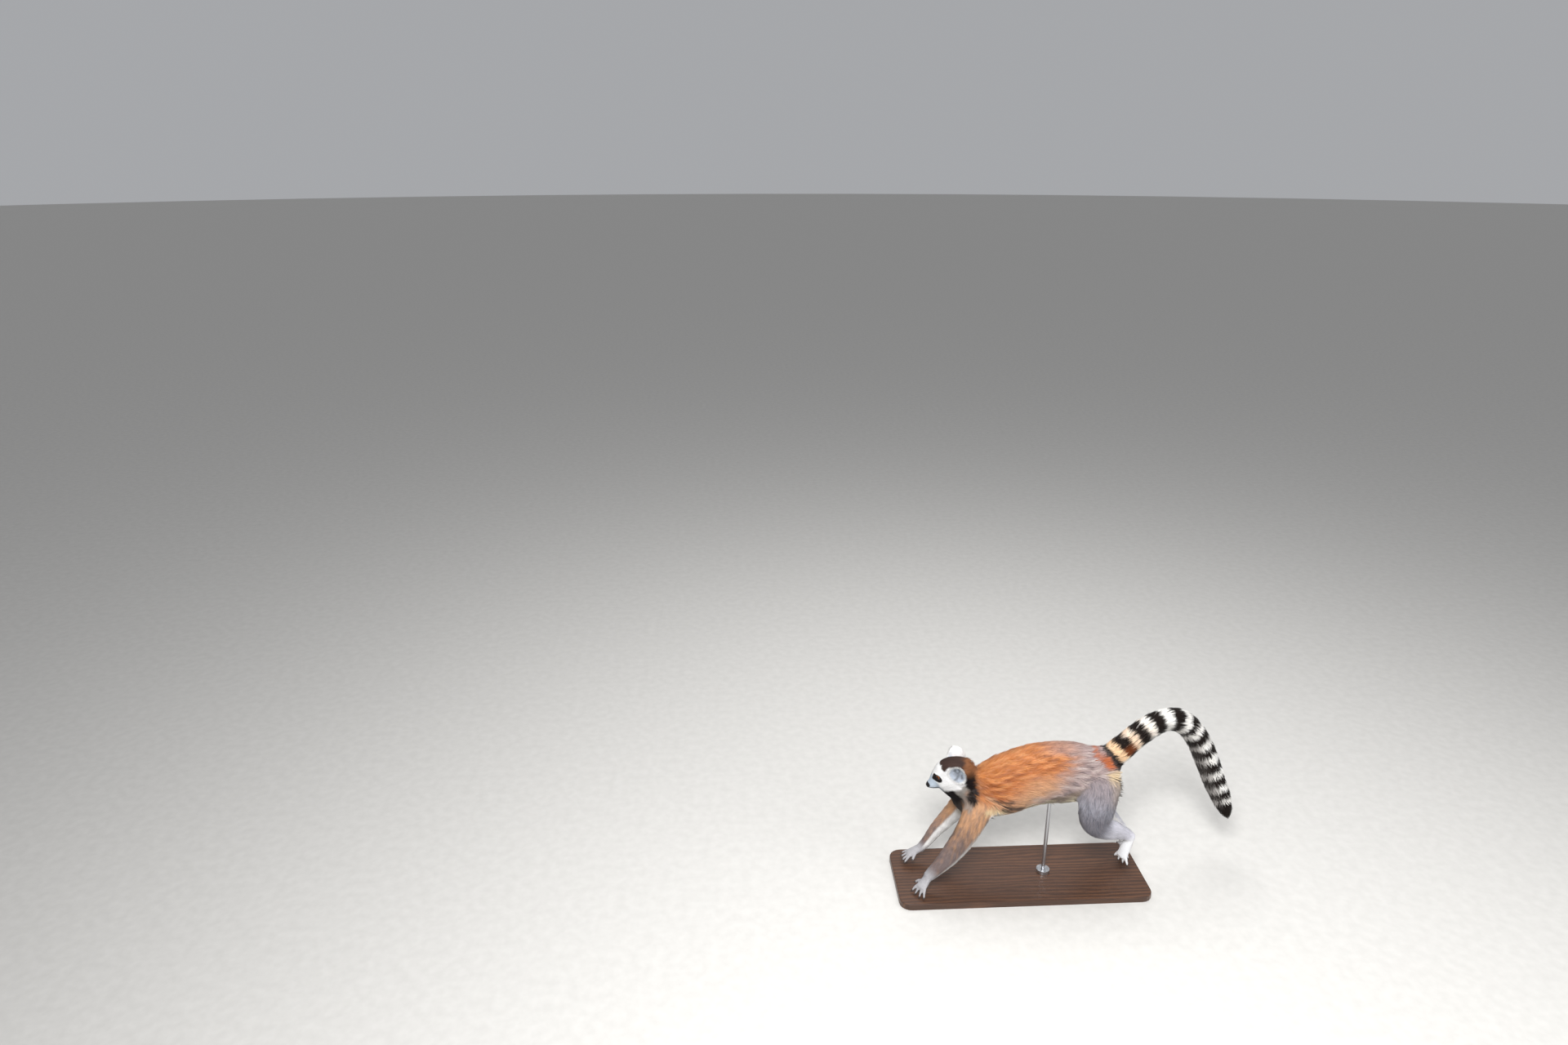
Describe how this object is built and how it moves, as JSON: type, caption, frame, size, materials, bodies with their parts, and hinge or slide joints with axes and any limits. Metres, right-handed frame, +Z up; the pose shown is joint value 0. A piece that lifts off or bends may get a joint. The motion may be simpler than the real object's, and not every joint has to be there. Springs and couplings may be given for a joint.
{
  "type": "ring-tailed lemur on a display stand",
  "caption": "Life-size still model of a ring-tailed lemur at full stretch in a bounding run, held over a flat wooden base by one steel rod.",
  "frame": {"origin": "middle of the bottom of the whole model's box, on the surface that the base stands on", "axes": "+X from the head towards the tail, +Y towards the animal's right side, +Z up"},
  "size_m": [0.8472, 0.2116, 0.4296],
  "materials": {
    "head_fur": "short white fur with a dark crown and eye patches",
    "ear_fur": "white fur over thin skin",
    "eye": "wet amber eye with a black pupil",
    "back_fur": "soft rufous fur, grey on the rump",
    "limb_fur": "soft grey fur, pale on hands and feet",
    "tail_fur": "long fur in black and white rings",
    "base_wood": "dark satin varnish",
    "rod_steel": "brushed along the rod"
  },
  "bodies": {
    "root": {"head": "head_fur", "left_ear": "ear_fur", "right_ear": "ear_fur", "left_eye": "eye", "right_eye": "eye", "neck": "back_fur", "trunk": "back_fur", "left_upper_arm": "limb_fur", "left_forearm": "limb_fur", "left_hand": "limb_fur", "right_upper_arm": "limb_fur", "right_forearm": "limb_fur", "right_hand": "limb_fur", "left_thigh": "limb_fur", "left_shank": "limb_fur", "left_foot": "limb_fur", "right_thigh": "limb_fur", "right_shank": "limb_fur", "right_foot": "limb_fur", "tail_rise": "tail_fur", "tail_arch": "tail_fur", "tail_drop": "tail_fur", "tail_tip": "tail_fur", "stand_base": "base_wood", "stand_rod": "rod_steel", "stand_collar": "rod_steel"}
  },
  "joints": []
}
